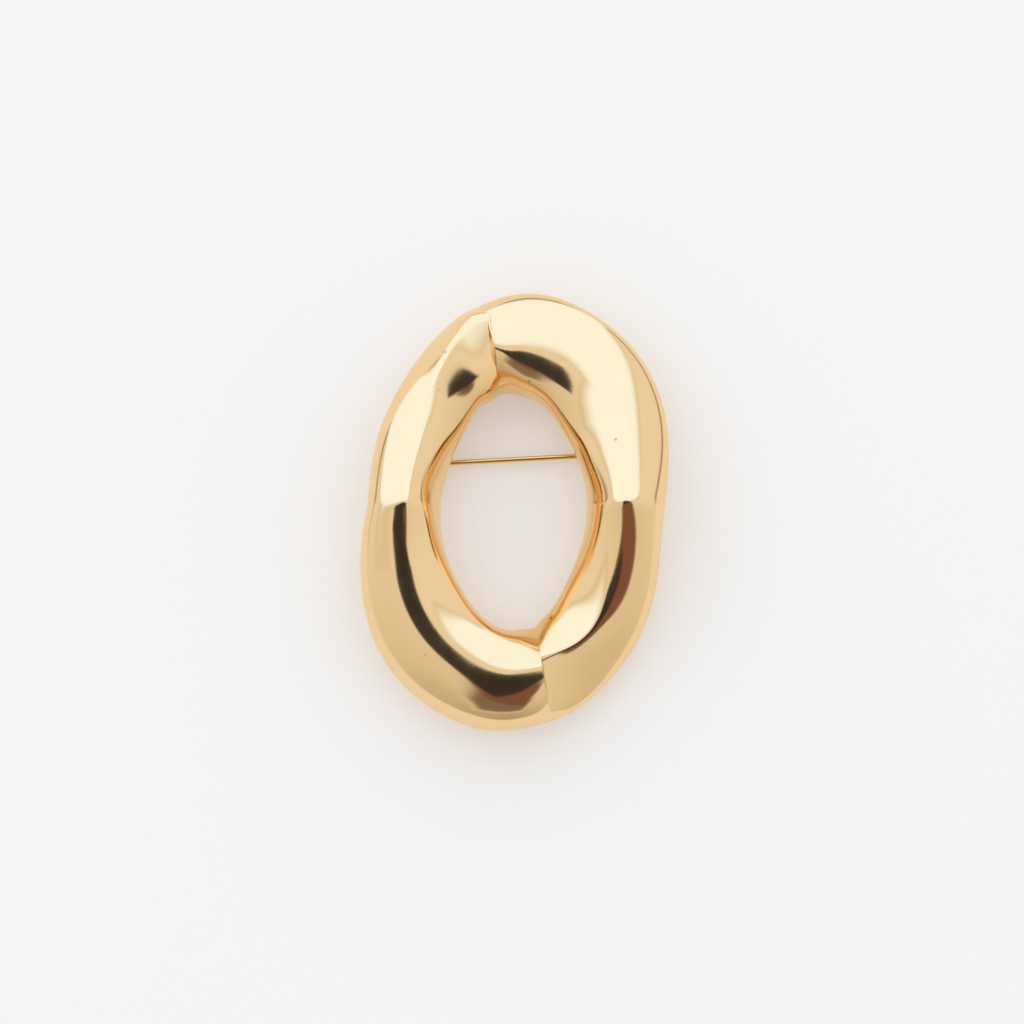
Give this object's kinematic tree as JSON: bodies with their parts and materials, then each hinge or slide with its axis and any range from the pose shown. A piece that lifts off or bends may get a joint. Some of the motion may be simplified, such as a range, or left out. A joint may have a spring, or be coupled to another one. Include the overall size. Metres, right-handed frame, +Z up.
{
  "type": "link brooch",
  "caption": "Oval brooch shaped as one puffed, twisted curb-chain link in polished gold tone, with a hinged pin stem and an open catch soldered to its back.",
  "frame": {"origin": "on the rest plane under the middle of the link's overall box; the brooch lies on its back", "axes": "+Z up, out of the brooch's front; +Y along the link's length towards the end nearer the pin stem; +X from the stem's hinge to its catch"},
  "size_m": [0.0426, 0.0614, 0.0137],
  "materials": {
    "polished_gold_tone": "mirror polished, gold plated",
    "stem_gold_tone": "polished wire, gold plated"
  },
  "bodies": {
    "link_body": {"link_frame": "polished_gold_tone", "hinge_rivet": "stem_gold_tone"},
    "stem": {"pin_stem": "stem_gold_tone"}
  },
  "joints": [
    {"name": "stem_hinge", "type": "hinge", "parent": "link_body", "child": "stem", "pos_m": [-0.01418, 0.00723, 0.0014], "axis": [-0.0541, 0.9985, 0], "range_deg": [0, 100]}
  ]
}
